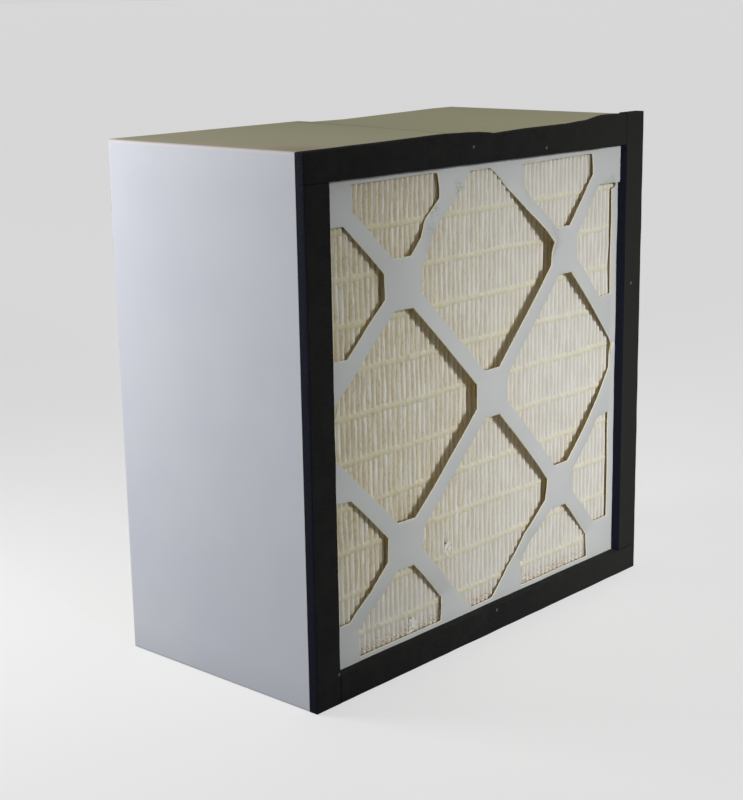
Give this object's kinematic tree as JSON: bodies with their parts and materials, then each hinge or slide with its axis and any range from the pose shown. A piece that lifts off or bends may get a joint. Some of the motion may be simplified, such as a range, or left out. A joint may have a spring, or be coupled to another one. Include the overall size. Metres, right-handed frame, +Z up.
{
  "type": "hepa filter",
  "caption": "Square box-type pleated air filter with a white board case, diamond lattice grilles, a pleated glass paper pack and a black foam gasket.",
  "frame": {"origin": "on the floor plane, under the middle of the whole object, foam gasket included", "axes": "+X to the right seen from the gasket side, +Y from the gasket face to the back of the case, +Z up; the gasket face looks along -Y"},
  "size_m": [0.3102, 0.1564, 0.3067],
  "materials": {
    "case_board": "smooth white coating on brown board",
    "grille_board": "smooth white coating, brown on the inside",
    "glass_paper": "matt, off-white",
    "hot_melt": "waxy pale yellow",
    "black_foam": "matt closed-cell foam",
    "sealant": "smooth cast sealant"
  },
  "bodies": {
    "root": {"case_wrap": "case_board", "front_bead_01": "hot_melt", "front_bead_02": "hot_melt", "front_bead_03": "hot_melt", "front_bead_04": "hot_melt", "front_bead_05": "hot_melt", "front_bead_06": "hot_melt", "front_bead_07": "hot_melt", "front_bead_08": "hot_melt", "front_bead_09": "hot_melt", "front_bead_10": "hot_melt", "front_bead_11": "hot_melt", "front_grille": "grille_board", "gasket_bottom": "black_foam", "gasket_left": "black_foam", "gasket_right": "black_foam", "gasket_top": "black_foam", "media_pack": "glass_paper", "rear_bead_01": "hot_melt", "rear_bead_02": "hot_melt", "rear_bead_03": "hot_melt", "rear_bead_04": "hot_melt", "rear_bead_05": "hot_melt", "rear_bead_06": "hot_melt", "rear_bead_07": "hot_melt", "rear_bead_08": "hot_melt", "rear_bead_09": "hot_melt", "rear_bead_10": "hot_melt", "rear_bead_11": "hot_melt", "rear_grille": "grille_board", "sealant_bottom": "sealant", "sealant_left": "sealant", "sealant_right": "sealant", "sealant_top": "sealant"}
  },
  "joints": []
}
